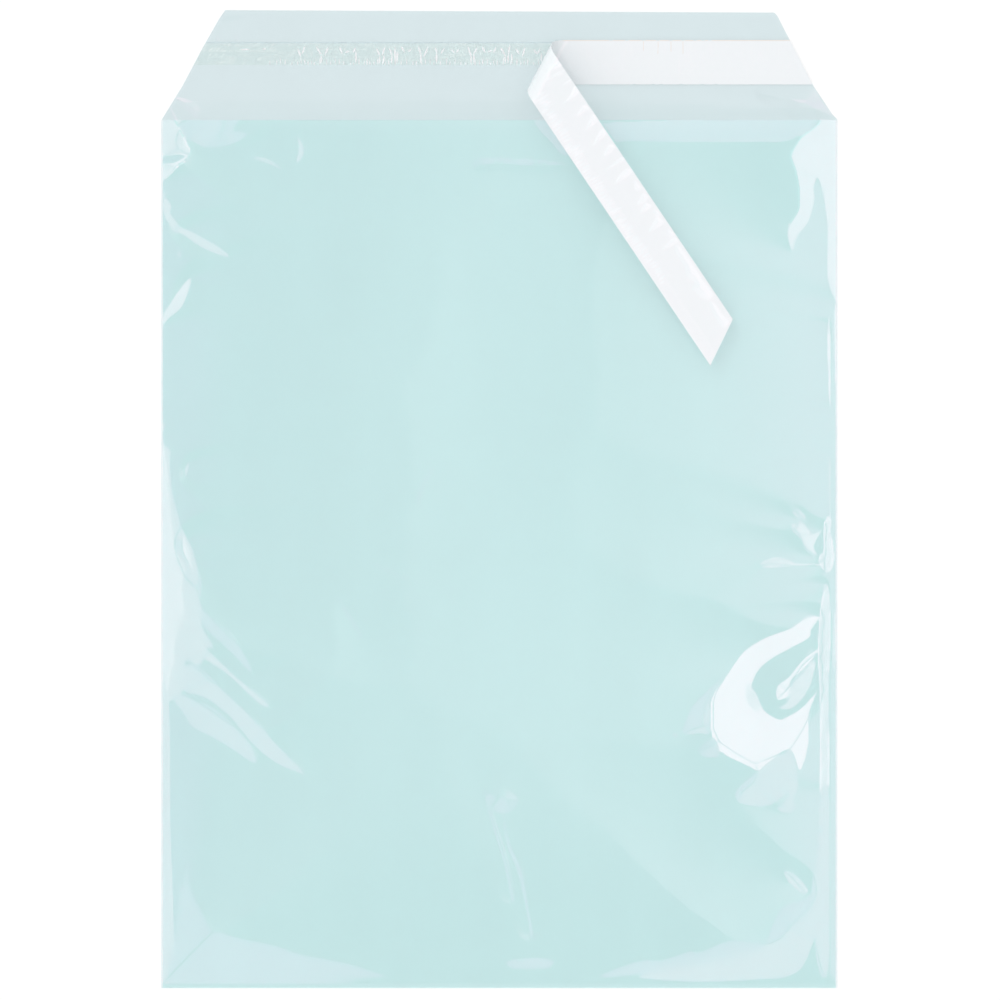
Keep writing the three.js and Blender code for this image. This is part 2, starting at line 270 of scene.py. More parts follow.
# How the front ply leans, read from the photograph. Flat film mirrors the dark gap over the camera, and film
# that leans by more than 4.1 degrees mirrors the soft boxes, so each light patch is a facet: its outline in
# pixels of the photograph, its lean in degrees and, where its border is lighter, the lean of its rim. The
# film is lowest along its low side, from one point of the outline to another, by its drop in pixels or else
# by what its size gives, and it steps up along its wall
facets = [
    # left edge, from the top down
    {"lean": 5.5, "rim": 6.1, "wall": (2, 8), "outline": [
        (161, 112), (171, 112), (175, 121), (182, 134), (190, 147), (191, 152), (187, 159.5), (175, 168.5),
        (165, 179), (161, 187), (161, 166), (173, 163.5), (184, 157.5), (184, 155.5), (178, 154),
        (166, 155.5), (161, 154.5),
    ]},
    {"lean": 4.75, "rim": 5.0, "low": (4, 9), "outline": [
        (172, 115), (190, 118), (236, 118), (235.5, 126), (229, 138), (219, 146), (210, 148), (203, 147),
        (191, 141), (186, 140), (180, 130),
    ]},
    {"lean": 4.4, "outline": [
        (229, 138), (232, 132), (241, 131), (256, 138), (241, 145.5), (219, 148), (225, 143),
    ]},
    {"lean": 5.2, "outline": [
        (297, 137), (300.5, 139.5), (304.5, 147), (304.5, 153), (301, 162), (296.5, 162), (298.5, 154),
        (299, 146),
    ]},
    {"lean": 5.6, "outline": [
        (251, 158), (261, 157.8), (269, 160.2), (277, 164.5), (283, 169.8), (276, 166.8), (268, 163.2),
        (260, 160.6),
    ]},
    {"lean": 5.4, "low": (10, 16), "outline": [
        (165, 198), (169, 200.5), (171.8, 206), (171, 213.5), (175.5, 219.5), (181.5, 227), (190, 230.5),
        (212.8, 242.7), (224, 250), (229.6, 255.5), (227, 256.8), (216, 254), (198.5, 245.5),
        (181.5, 234.2), (174, 233), (168, 222.6), (164.4, 213.5), (163.5, 207),
    ]},
    {"lean": 5.7, "low": (6, 0), "outline": [
        (190.5, 278), (191.5, 283), (185, 301.5), (178, 312), (170, 318), (165.5, 323), (163, 325.5),
        (163, 317), (168, 306.5), (176, 294), (185, 282),
    ]},
    {"lean": 4.8, "outline": [(178, 252), (181, 251), (182, 257), (179, 258)]},
    {"lean": 4.9, "outline": [(163, 193.5), (168, 193), (167, 196), (163, 197)]},
    {"lean": 5.2, "outline": [(161, 424), (166, 422.5), (165, 429), (161, 434)]},
    {"lean": 5.1, "outline": [
        (161, 437), (163, 437), (165, 444), (169, 447), (171.5, 452), (170.5, 464), (173, 492), (179, 516),
        (183, 529), (193, 549), (198, 568), (201, 580), (200, 597), (203, 612), (203, 628), (214, 646),
        (205, 648), (198, 642), (206, 654), (200, 665), (186, 662), (184, 690), (170, 702), (161, 702),
    ]},
    {"lean": 5.7, "rim": 6.1, "outline": [
        (161, 441), (163, 441), (168, 470), (170.5, 510), (174, 535), (174.5, 548), (183, 563), (185, 570),
        (182, 590), (185, 613), (178.5, 630), (174, 650), (175, 660), (171, 676), (167, 694), (161, 694),
    ]},
    {"lean": 5.9, "low": (4, 0), "outline": [
        (182, 540), (185, 539.5), (188, 545), (192, 562), (190, 564.5), (183, 552),
    ]},
    {"lean": 5.2, "low": (3, 0), "outline": [
        (188, 462), (189.5, 465), (187.5, 475), (184.5, 475), (184.5, 470),
    ]},
    {"lean": 4.45, "outline": [
        (203, 610), (222, 625), (231, 632), (243, 651), (252, 668), (250, 672), (235, 656), (210, 632),
        (204, 626),
    ]},
    {"lean": 5.2, "outline": [
        (197, 641), (222, 663), (240, 680), (258, 693), (270, 705), (263, 706), (247, 692), (229, 675),
        (210, 662), (200, 655),
    ]},
    {"lean": 4.9, "outline": [
        (182, 672), (190, 664), (200, 668), (217, 684), (238, 704), (262, 726), (273, 740), (303, 771),
        (297, 772), (277, 763), (255, 746), (233, 719), (218, 706), (207, 698), (195, 694), (184, 690),
    ]},
    {"lean": 4.75, "outline": [
        (180, 694), (195, 700), (213, 708), (232, 724), (250, 743), (258, 760), (252, 762), (234, 750),
        (213, 737), (193, 727), (183, 712), (174, 699),
    ]},
    # left and bottom edges
    {"lean": 5.1, "rim": 5.4, "outline": [
        (161, 698), (168.5, 700), (170.5, 740), (171, 830), (174, 910), (174, 990), (161, 990),
    ]},
    {"lean": 4.28, "outline": [
        (174, 990), (175, 940), (178, 905), (180, 887), (184.5, 880), (187.5, 860), (189, 862), (190, 882),
        (198, 903), (208, 922), (216, 929), (242, 938), (277, 945), (303, 954), (345, 962), (386, 975),
        (398, 976), (350, 979), (305, 984), (250, 990),
    ]},
    # right edge, from the top down
    {"lean": 5.0, "rim": 5.3, "outline": [
        (537, 119), (538, 128), (552, 143), (566, 156), (590, 146), (613, 141.5), (700, 141.5),
        (780, 141.5), (797, 135.5), (805, 134), (814, 116), (740, 117), (605, 122), (580, 121), (560, 117),
    ]},
    {"lean": 6.0, "wall": (0, 7), "outline": [
        (829, 112), (816, 127), (801, 138), (791, 155), (795, 169), (799, 190), (798, 210), (789, 225),
        (787, 233), (788, 241), (792, 251), (797, 236), (808, 222), (814, 200), (813, 190), (816, 179),
        (820, 184), (825, 210), (827, 240), (827, 278), (834, 299), (836.5, 299), (836.5, 210),
        (836.5, 150), (836.5, 112),
    ]},
    {"lean": 6.2, "low": (1, 3), "outline": [
        (828, 318), (829.5, 322), (831, 345), (830.5, 400), (828.5, 400), (827, 360), (826.5, 345),
    ]},
    {"lean": 5.4, "low": (1, 2), "outline": [(828.5, 420), (830.5, 420), (830, 443), (828.5, 443)]},
    {"lean": 5.5, "low": (1, 2), "outline": [(828.3, 450), (830.3, 450), (830.5, 515), (828.5, 515)]},
    {"lean": 6.0, "outline": [(833.5, 312), (836, 312), (835.5, 375), (834, 375)]},
    {"lean": 5.8, "rim": 7.0, "low": (7, 9), "outline": [
        (826, 517), (824, 530), (824, 550), (820, 556), (819, 563), (826, 572), (831, 569), (834, 556),
        (831, 535), (831, 520),
    ]},
    {"lean": 5.4, "low": (2, 4), "outline": [(792, 511), (799, 510), (806, 518), (803, 520), (796, 517)]},
    {"lean": 5.8, "low": (5, 9), "outline": [
        (791, 525), (796, 524), (800, 521), (806, 527), (812, 533), (822, 530), (816, 541), (814, 547),
        (817, 554), (815, 556), (805, 549), (800, 538), (792, 530),
    ]},
    {"lean": 5.8, "low": (6, 0), "outline": [
        (760, 566), (762, 562), (774, 557.5), (790, 560), (797, 563.8), (820, 564), (820, 566),
        (797, 566.2), (788, 567), (780, 567.5), (764, 567.5),
    ]},
    {"lean": 5.6, "rim": 7.0, "low": (0, 5), "outline": [
        (825, 584), (829, 590), (831, 630), (830, 660), (829, 690), (829, 795), (820, 800), (819, 760),
        (820, 690), (818, 655), (820, 615), (821, 600),
    ]},
    {"lean": 5.05, "low": (0, 4), "outline": [
        (829, 790), (830, 830), (830, 900), (829, 965), (823, 978), (817, 962), (814, 930), (812, 895),
        (816, 855), (818, 830), (820, 790),
    ]},
    # a line along the bottom, and a thin one at the right
    {"lean": 4.7, "outline": [
        (215, 983.4), (500, 983.2), (790, 983.4), (790, 985), (500, 985.2), (215, 985),
    ]},
    {"lean": 5.6, "outline": [
        (833.2, 612), (835.6, 618), (836, 640), (834.6, 662), (833, 676), (832.2, 650),
    ]},
    # the large bright fold and what trails from it
    {"lean": 7.0, "low": (19, 32), "drop": 9, "outline": [
        (818, 616), (806, 617), (788, 629), (766, 637), (743, 652), (726, 676), (712, 698), (711, 725),
        (714, 742), (723, 753), (747, 765), (761, 770), (779, 754), (786, 751), (792, 752), (799, 770),
        (805, 757), (808, 742), (809, 715), (818, 690), (812, 697), (800, 709), (786, 717), (778, 719),
        (764, 710), (757, 694), (752, 686), (759, 670), (773, 658), (791, 648), (809, 638), (811, 630),
        (818, 620),
    ]},
    {"lean": 5.9, "outline": [(745, 685), (752, 684), (757, 694), (761, 706), (756, 712), (747, 704)]},
    {"lean": 6.8, "low": (0, 4), "outline": [
        (817, 650), (806, 657), (789, 677), (778, 686), (777, 698), (781, 699), (789, 695), (791, 681),
        (803, 669), (817, 653),
    ]},
    {"lean": 5.6, "low": (3, 5), "outline": [
        (792, 682), (800, 676), (812, 660), (815, 668), (808, 690), (792, 708), (778, 707), (786, 702),
    ]},
    {"lean": 5.0, "outline": [
        (723, 675), (714, 684), (694, 704), (689, 714), (683, 733), (700, 733), (710, 732), (710, 700),
    ]},
    {"lean": 4.7, "outline": [(714, 738), (699, 749), (703, 756), (716, 757), (720, 752)]},
    {"lean": 5.0, "outline": [
        (770, 760), (787, 751), (793, 755), (797, 778), (793, 788), (775, 802), (762, 806), (739, 802),
        (737, 790), (757, 772),
    ]},
    {"lean": 5.1, "outline": [
        (797, 780), (797, 790), (793, 800), (795, 808), (788, 813), (777, 808), (787, 797), (790, 783),
    ]},
    {"lean": 6.5, "outline": [(674, 733.5), (676.5, 734), (676, 736.5), (673.5, 736)]},
    {"lean": 5.4, "low": (2, 4), "outline": [(784, 871), (797, 877), (808, 891), (801, 893), (790, 884)]},
    {"lean": 4.4, "outline": [
        (600, 977), (640, 960), (660, 960), (688, 951), (700, 951), (730, 940), (768, 940), (768, 960),
        (690, 968),
    ]},
    {"lean": 5.0, "outline": [
        (812, 895), (805, 899), (783, 907), (773, 924), (765, 945), (748, 952), (708, 962), (660, 970),
        (640, 977), (700, 981), (770, 978), (787, 976), (802, 967), (812, 945), (815, 930),
    ]},
    # faint marks in the middle
    {"lean": 4.35, "low": (3, 5), "outline": [
        (430, 468), (432, 470), (423, 490), (417, 505), (415, 504), (420, 485),
    ]},
    {"lean": 4.35, "low": (3, 5), "outline": [
        (365, 561), (380, 565), (405, 577), (404, 580), (380, 568), (365, 563),
    ]},
    {"lean": 4.35, "low": (3, 4), "outline": [(338, 597), (345, 606), (362, 634), (360, 636), (342, 608)]},
    {"lean": 4.35, "low": (4, 7), "outline": [
        (487, 797), (493, 815), (508, 862), (515, 900), (511, 900), (503, 862), (489, 817), (485, 799),
    ]},
    {"lean": 4.35, "low": (5, 8), "outline": [
        (503, 808), (511, 843), (523, 872), (530, 912), (534, 935), (530, 935), (526, 912), (517, 872),
        (506, 843),
    ]},
    {"lean": 4.3, "outline": [(484, 792), (505, 790), (518, 800), (510, 812), (490, 810)]},
    {"lean": 4.4, "outline": [(510, 959), (550, 958), (548, 968), (512, 968)]},
    {"lean": 4.3, "outline": [
        (475, 160), (500, 158), (560, 162), (556, 170), (530, 173), (500, 170), (478, 172),
    ]},
]

film = {
    "thickness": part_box("back_panel")[1].z,
    "cells": (80, 103),  # of the front ply, about three millimetres wide
    "levels": 3,  # how often a cell is halved where the film bends
    "leans": ((0, 3.5), (20, 3.1), (60, 2.6), (140, 1.9), (340, 1.4)),  # by pixels from the edges
    "edgeGap": 0.1,  # pixels, like the three widths below
    "rimWidth": 1.3,
    "dentWidth": 1,
    "wallWidth": 0.55,
    "wallRise": 1,  # metres in one cell, which is more than any climb
    "rounds": 6,
    "lowest": 0.1 * mm,
    "turn": 0.9,  # degrees by which the film may bend from cell to cell before they are halved
    "kept": 0.62,  # share of the triangles that is kept, thinned where the film is flat
    "far": 1e9,
}


def closedCurve(points, steps=6):
    # a smooth closed curve through the points
    p = np.array(points, float)
    t = (np.arange(steps) / steps)[:, None]
    a, b, c, d = (np.roll(p, shift, axis=0)[:, None] for shift in (1, 0, -1, -2))
    made = 0.5 * (2 * b + (c - a) * t + (2 * a - 5 * b + 4 * c - d) * t**2 + (3 * b - a - 3 * c + d) * t**3)
    return made.reshape(-1, 2)


def fromStretch(px, py, start, end):
    # where the nearest point of a stretch lies, from 0 at its start to 1 at its end, and how far away it is
    (ax, ay), (dx, dy) = start, (end[0] - start[0], end[1] - start[1])
    t = np.clip(((px - ax) * dx + (py - ay) * dy) / (dx * dx + dy * dy), 0, 1)
    return t, np.hypot(px - ax - t * dx, py - ay - t * dy)


def depthInside(px, py, curve):
    # distance to a closed outline, negative outside it
    inside = np.zeros(px.shape, bool)
    away = np.full(px.shape, film["far"])
    for (ax, ay), (bx, by) in zip(curve, np.roll(curve, -1, axis=0)):
        dx, dy = bx - ax, by - ay
        if dy:
            inside ^= ((ay > py) != (by > py)) & (px < ax + (py - ay) * dx / dy)
        away = np.minimum(away, fromStretch(px, py, (ax, ay), (bx, by))[1])
    return np.where(inside, away, -away)


def latticeNear(curve, margin, columns, rows):
    # the window of the lattice round an outline, and the places in it
    low, high = curve.min(axis=0) - margin, curve.max(axis=0) + margin
    i = slice(*np.searchsorted(rows, (low[1], high[1])))
    j = slice(*np.searchsorted(columns, (low[0], high[0])))
    return (i, j), np.meshgrid(columns[j], rows[i])


def sideOf(facet, curve, name):
    # the stretch of the outline between the two points that the facet names
    steps = len(curve) // len(facet["outline"])
    first, last = facet[name][0] * steps, facet[name][1] * steps
    return np.roll(curve, -first, axis=0)[: (last - first) % len(curve) + 1]


def markFacet(lean, columns, rows, facet, curve):
    # its border is one pixel soft
    window, (px, py) = latticeNear(curve, 3, columns, rows)
    depth = depthInside(px, py, curve)
    part = lean[window]
    if "rim" in facet:
        part += (facet["rim"] - part) * np.clip(0.5 + depth, 0, 1)
        depth = depth - film["rimWidth"]
    part += (facet["lean"] - part) * np.clip(0.5 + depth, 0, 1)


def holdLowSide(held, natural, lean, columns, rows, facet, curve):
    # the film is dented along the facet's low side, so that it climbs evenly from there to the other side
    ahead = np.roll(curve, -1, axis=0)
    area = abs((curve[:, 0] * ahead[:, 1] - curve[:, 1] * ahead[:, 0]).sum()) / 2
    length = np.hypot(*(ahead - curve).T).sum()
    drop = facet.get("drop", 2 * area / length * math.tan(math.radians(facet["lean"]))) * photo["pixel"]
    run = sideOf(facet, curve, "low")
    level = np.maximum(atPlaces(natural, columns, rows, run[:, 0], run[:, 1]) - drop, film["lowest"])
    window, (px, py) = latticeNear(run, 2, columns, rows)
    away = np.full(px.shape, film["far"])
    start = np.zeros(px.shape)
    for k in range(len(run) - 1):
        t, distance = fromStretch(px, py, run[k], run[k + 1])
        start = np.where(distance < away, level[k] + t * (level[k + 1] - level[k]), start)
        away = np.minimum(away, distance)
    made = start + away * photo["pixel"] * np.tan(np.radians(lean[window]))
    held[window] = np.where(away < film["dentWidth"], np.minimum(held[window], made), held[window])


def raiseWall(step, columns, rows, facet, curve):
    # no climb passes a wall, so the film steps up there
    run = sideOf(facet, curve, "wall")
    window, (px, py) = latticeNear(run, 1, columns, rows)
    away = np.full(px.shape, film["far"])
    for start, end in zip(run[:-1], run[1:]):
        away = np.minimum(away, fromStretch(px, py, start, end)[1])
    step[window] = np.where(away < film["wallWidth"], film["wallRise"], step[window])


def levelWalls(height):
    # a wall's own cells take the height of the lowest cell beside them
    for side in range(2):
        near = np.pad(height, 1, mode="edge")
        low = np.minimum(near[:-2, 1:-1], near[2:, 1:-1])
        low = np.minimum(low, np.minimum(near[1:-1, :-2], near[1:-1, 2:]))
        height = np.where(height > film["wallRise"] / 2, low, height)
    return height


def grown(mask):
    mask = np.pad(mask, 1)
    mask = mask[:-2] | mask[1:-1] | mask[2:]
    return mask[:, :-2] | mask[:, 1:-1] | mask[:, 2:]


def climb(step, height):
    # the film climbs by step from cell to cell away from the places where its height is given
    rows, columns = step.shape
    wide = columns + 2
    height = np.pad(height, 1, constant_values=film["far"])
    step = np.pad(step, 1)
    lines = []
    for k in range(2, rows + columns + 1):
        first, last = max(1, k - columns), min(rows, k - 1)
        start = first * wide + k - first
        lines.append((start, start + (last - first) * (wide - 1) + 1))
    for sweep in range(2 * film["rounds"]):
        height, step = height[:, ::-1].copy(), step[:, ::-1].copy()
        h, s = height.ravel(), step.ravel()
        for start, end in lines + lines[::-1]:
            here, left, right, above, below = (
                slice(start + shift, end + shift, wide - 1) for shift in (0, -1, 1, -wide, wide)
            )
            beside = np.minimum(h[left], h[right])
            ahead = np.minimum(h[above], h[below])
            gap = np.abs(beside - ahead)
            both = (beside + ahead + np.sqrt(np.maximum(2 * s[here] ** 2 - gap**2, 0))) / 2
            one = np.minimum(beside, ahead) + s[here]
            h[here] = np.minimum(h[here], np.where(gap < s[here], both, one))
    return height[1:-1, 1:-1]


def atPlaces(values, columns, rows, px, py):
    # bilinear reading of a lattice
    j = np.clip((px - columns[0]) / (columns[1] - columns[0]), 0, len(columns) - 1.001)
    i = np.clip((py - rows[0]) / (rows[1] - rows[0]), 0, len(rows) - 1.001)
    a, b = i.astype(int), j.astype(int)
    s, t = i - a, j - b
    near = values[a, b] * (1 - t) + values[a, b + 1] * t
    far = values[a + 1, b] * (1 - t) + values[a + 1, b + 1] * t
    return near * (1 - s) + far * s


def frontField():
    # heights of the front ply over the plane of its edges, on a lattice of the finest cells
    finest = 2 ** film["levels"]
    x = np.linspace(-weldX, weldX, film["cells"][0] * finest + 1)
    y = np.linspace(frontLow.y, lipY, film["cells"][1] * finest + 1)
    columns = x / photo["pixel"] + photo["centreX"]
    rows = photo["lipRow"] + (lipY - y[::-1]) / photo["pixel"]
    # at rest it is a low pillow with an open end, which leans less and less towards its middle
    fromEdges = columns - columns[0], columns[-1] - columns, (rows[-1] - rows)[:, None]
    inward = sum((distance + film["edgeGap"]) ** -2.0 for distance in fromEdges) ** -0.5
    turned = np.hypot(*np.gradient(inward, rows, columns))
    lean = np.interp(inward, *zip(*film["leans"])) * turned
    held = np.full(lean.shape, film["far"])
    held[:, 0] = held[:, -1] = held[-1] = 0
    cell = x[1] - x[0]
    natural = climb(np.tan(np.radians(lean)) * cell, held)
    curves = [closedCurve(facet["outline"]) for facet in facets]
    for facet, curve in zip(facets, curves):
        markFacet(lean, columns, rows, facet, curve)
    step = np.tan(np.radians(lean)) * cell
    for facet, curve in zip(facets, curves):
        if "low" in facet:
            holdLowSide(held, natural, lean, columns, rows, facet, curve)
        if "wall" in facet:
            raiseWall(step, columns, rows, facet, curve)
    return levelWalls(climb(step, held))[::-1]


def whereBent(height, cell):
    # masks of the cells to halve, from the coarsest to the finest: neighbours differ by one halving at most
    slopeX = np.diff((height[1:] + height[:-1]) / 2, axis=1) / cell
    slopeY = np.diff((height[:, 1:] + height[:, :-1]) / 2, axis=0) / cell
    most = math.tan(math.radians(film["turn"]))
    bent = np.zeros(slopeX.shape, bool)
    turned = np.hypot(np.diff(slopeX, axis=1), np.diff(slopeY, axis=1)) > most
    bent[:, 1:] |= turned
    bent[:, :-1] |= turned
    turned = np.hypot(np.diff(slopeX, axis=0), np.diff(slopeY, axis=0)) > most
    bent[1:] |= turned
    bent[:-1] |= turned
    masks = []
    for level in range(film["levels"]):
        bent = bent[::2, ::2] | bent[1::2, ::2] | bent[::2, 1::2] | bent[1::2, 1::2]
        masks.insert(0, bent)
        bent = grown(bent)
    return masks


# Small creases in the flap, the glue and the liner are low tents, which rise evenly from their outline to
# their middle. A tent is its lean in degrees and its outline in pixels of the photograph
def depthNear(px, py, outline, margin=0):
    # the points near an outline, and how deep inside it they lie
    curve = closedCurve(outline)
    low, high = curve.min(axis=0) - margin, curve.max(axis=0) + margin
    near = np.flatnonzero((px > low[0]) & (px < high[0]) & (py > low[1]) & (py < high[1]))
    return near, depthInside(px[near], py[near], curve)


def tentHeight(px, py, tents):
    height = np.zeros_like(px)
    for lean, outline in tents:
        near, depth = depthNear(px, py, outline)
        height[near] = np.maximum(height[near], depth * math.tan(math.radians(lean)))
    return height * photo["pixel"]


def halveUnderTents(piece, levels, cell, tents, placeOf):
    for level in range(levels):
        px, py = inPhoto(*placeOf(*shares(faceCentres(piece))))
        chosen = np.zeros(len(px), bool)
        margin = cell / 2**level
        for lean, outline in tents:
            near, depth = depthNear(px, py, outline, margin)
            chosen[near] |= depth > -margin
        halveFaces(piece, chosen)


def stroke(x0, y0, x1, y1, width):
    # the outline of a crease that tapers to both ends
    length = math.hypot(x1 - x0, y1 - y0)
    sideX, sideY = (y1 - y0) / length * width / 2, (x0 - x1) / length * width / 2
    middleX, middleY = (x0 + x1) / 2, (y0 + y1) / 2
    return [(x0, y0), (middleX + sideX, middleY + sideY), (x1, y1), (middleX - sideX, middleY - sideY)]


def makeFrontPly():
    height = frontField()
    ply = addGrid("frontPly", *film["cells"])
    for mask in whereBent(height, 2 * weldX / (height.shape[1] - 1)):
        u, v = shares(faceCentres(ply))
        halveFaces(ply, mask[(v * mask.shape[0]).astype(int), (u * mask.shape[1]).astype(int)])
    u, v = shares(places(ply))
    i = np.rint(v * (height.shape[0] - 1)).astype(int)
    j = np.rint(u * (height.shape[1] - 1)).astype(int)
    moveVertices(ply, (2 * u - 1) * weldX, frontLow.y + v * (lipY - frontLow.y), frontLow.z + height[i, j])
    # the longer diagonal follows a ridge
    apply(ply, "TRIANGULATE", quad_method="LONGEST_DIAGONAL")
    apply(ply, "DECIMATE", ratio=film["kept"])
    apply(ply, "SOLIDIFY", thickness=film["thickness"], offset=1)
    finishPiece(ply, pocketFilm, "clear_film", ["front_panel"], "pocket", sharp=1.2)


# Back ply and flap are one web
flap = {
    # the flap's cut ends as (row, column) in pixels of the photograph, from the lip up
    "left": ((86, 182.5), (50, 201.5), (19, 219), (10.5, 225)),
    "right": ((114, 832), (104, 825.5), (86, 813.5), (26, 782.5), (15, 777), (11.5, 773)),
    "lipLeft": 161.5,
    "lipRight": 838,
    "cell": 4,  # pixels
    "levels": 3,
    "bodyRows": 16,
    "foldRows": 24,  # close rows where the web turns over the lip
    "foldStart": -0.8 * mm,
    "foldEnd": 3.2 * mm,
    "foldMargin": 1 * mm,
    # a soft crease runs along the flap, and below it the film leans towards the pocket
    "crease": (
        (158, 103), (205, 102), (240, 100), (300, 98.5), (560, 98.5), (588, 101), (640, 102), (700, 104),
        (740, 107), (842, 109),
    ),
    "leanBelow": 1.6,
    "leanAbove": 2.2,
    "askew": 2.5,  # pixels by which the upper edge drops towards the right
}
flapTents = [
    (2.5, [(225, 11.5), (240, 12), (246, 15), (240, 18.5), (222, 21)]),
    (2.9, [(215.5, 36.5), (218, 36.5), (219.5, 41), (217, 41.5)]),
    (2.9, [(234, 35.5), (237, 35), (238.5, 41), (236, 41.5)]),
    (3.0, [
        (176, 97), (183, 98), (191, 101), (198, 105), (200.5, 111), (199, 117), (195, 117), (189, 112),
        (183, 106.5), (177, 101),
    ]),
    (3.6, [
        (180, 100.5), (186, 101.5), (192, 104.5), (196, 108.5), (197.5, 112), (196.5, 115), (193, 112.5),
        (187, 107),
    ]),
    (3.3, [(168.5, 107), (171.5, 108), (178, 121), (174.5, 121)]),
    (2.6, [
        (757, 88), (785, 87), (812, 88), (822, 102), (832, 116), (812, 118.5), (792, 118.5), (786, 112),
        (770, 106), (757, 98),
    ]),
]
adhesiveLow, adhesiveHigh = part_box("adhesive_strip")
flapSlant = (halfWidth - adhesiveHigh.x) / (adhesiveLow.y - lipY)


def flapEdge(y, side):
    row = inPhoto(0, y)[1]
    points = flap["right"] if side > 0 else flap["left"]
    lip = (photo["lipRow"], flap["lipRight"] if side > 0 else flap["lipLeft"])
    rows, columns = zip(*sorted((lip, *points)))
    return side * (np.interp(row, rows, columns) - photo["centreX"]) * photo["pixel"]


def acrossFlap(u, y):
    # from -1 at the left cut end to 1 at the right one, and how far out that end is
    side = 2 * u - 1
    return side, np.where(side > 0, flapEdge(y, 1), flapEdge(y, -1))


def flapRest(px, py):
    lip = photo["lipRow"]
    crease = np.interp(px, *zip(*flap["crease"]))
    rise = np.minimum(lip - py, lip - crease) * math.tan(math.radians(flap["leanBelow"]))
    fall = np.maximum(crease - py, 0) * math.tan(math.radians(flap["leanAbove"]))
    return np.maximum(rise - fall, 0) * photo["pixel"]


def makeBackPly():
    flapRows = round((topY - lipY) / photo["pixel"] / flap["cell"])
    rows = flap["bodyRows"] + flap["foldRows"] + flapRows
    foldLow, foldHigh = lipY + flap["foldStart"], lipY + flap["foldEnd"]
    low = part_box("back_panel")[0].y
    marks = [low, foldLow - flap["foldMargin"], foldHigh + flap["foldMargin"], topY]
    steps = np.array([0, flap["bodyRows"], flap["bodyRows"] + flap["foldRows"], rows]) / rows

    def placeOf(u, v):
        y = np.interp(v, steps, marks)
        aboveGlue = np.maximum(y - adhesiveHigh.y, 0) / (topY - adhesiveHigh.y)
        y = y - aboveGlue * flap["askew"] * photo["pixel"] * u
        side, edge = acrossFlap(u, y)
        return side * np.where(y <= lipY, weldX, edge), y

    columns = round(2 * halfWidth / photo["pixel"] / flap["cell"])
    ply = addGrid("backPlyAndFlap", columns, rows)
    halveUnderTents(ply, flap["levels"], flap["cell"], flapTents, placeOf)
    x, y = placeOf(*shares(places(ply)))
    px, py = inPhoto(x, y)
    z = np.where(y > lipY, flapRest(px, py) + tentHeight(px, py, flapTents), 0)
    moveVertices(ply, x, y, z)
    apply(ply, "TRIANGULATE", quad_method="LONGEST_DIAGONAL")
    apply(ply, "SOLIDIFY", thickness=film["thickness"], offset=1)
    ply.data.materials.append(flapFilm)
    for face in ply.data.polygons:
        face.material_index = 0 if face.center.y > lipY else 1
    bend = ("pocket", "flap", (0, foldLow, 0), (0, foldHigh, 0))
    finishPiece(ply, pocketFilm, "clear_film", ["back_panel", "flap"], bend=bend, sharp=1.2)


bottomFold = {"columns": 160, "rows": 22}


def makeBottomFold():
    fold = addGrid("bottomFold", bottomFold["columns"], bottomFold["rows"])
    u, v = shares(places(fold))
    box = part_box("bottom_fold")
    radius = (box[1].z - film["thickness"]) / 2
    leg = box[1].y - box[0].y - radius
    # two short legs with a half turn between them
    straight = leg / (2 * leg + math.pi * radius)
    turn = np.clip((v - straight) / (1 - 2 * straight), 0, 1) * math.pi
    upper = np.where(v > 1 - straight, leg * (v - 1 + straight) / straight, 0)
    legs = np.where(v < straight, leg * (1 - v / straight), upper)
    x = (2 * u - 1) * weldX
    y = box[0].y + radius + film["thickness"] / 2 + legs - radius * np.sin(turn)
    z = film["thickness"] / 2 + radius * (1 - np.cos(turn))
    moveVertices(fold, x, np.minimum(y, box[1].y), z)
    apply(fold, "SOLIDIFY", thickness=film["thickness"], offset=0)
    finishPiece(fold, pocketFilm, "clear_film", ["bottom_fold"], "pocket")


# The hot knife leaves a bead that swells and shrinks along the weld
bead = {
    "sides": 12,
    "cuts": 240,
    "cutReach": 0.49,  # share of the length that is cut, to each side of the middle
    "size": 0.86,  # shares of the bead's full width
    "swell": 0.10,
    "swellLengths": (2.3 * mm, 7.1 * mm),
    "ripple": 0.04,
    "rippleLength": 0.9 * mm,
    "outward": 0.5,  # how far a thin stretch moves out, so that the outer edge stays straighter
}


def makeWeld(side, node):
    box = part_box(node)
    middleX = (box[0].x + box[1].x) / 2
    halfX, halfZ = (box[1].x - box[0].x) / 2, (box[1].z - box[0].z) / 2
    bpy.ops.object.select_all(action="DESELECT")
    quarter = (math.pi / 2, 0, 0)
    bpy.ops.mesh.primitive_cylinder_add(vertices=bead["sides"], radius=1, depth=1, rotation=quarter)
    weld = bpy.context.object
    weld.name = weld.data.name = "weldBeadLeft" if side < 0 else "weldBeadRight"
    bpy.ops.object.transform_apply(rotation=True)
    bpy.ops.object.mode_set(mode="EDIT")
    for i in range(bead["cuts"]):
        share = bead["cutReach"] - i * 2 * bead["cutReach"] / (bead["cuts"] - 1)
        bpy.ops.mesh.select_all(action="SELECT")
        bpy.ops.mesh.bisect(plane_co=(0, share, 0), plane_no=(0, 1, 0))
    bpy.ops.object.mode_set(mode="OBJECT")
    co = places(weld)
    y = (box[0].y + box[1].y) / 2 + co[:, 1] * (box[1].y - box[0].y)
    short, long = bead["swellLengths"]
    swell = bead["size"] + bead["swell"] * np.sin(y / short) * np.sin(y / long + side)
    swell = swell + bead["ripple"] * np.sin(y / bead["rippleLength"])
    x = middleX + co[:, 0] * halfX * swell + side * (1 - swell) * halfX * bead["outward"]
    z = halfZ + co[:, 2] * halfZ * swell
    moveVertices(weld, x, y, z)
    finishPiece(weld, weldFilm, "welded_edge", [node], "pocket")


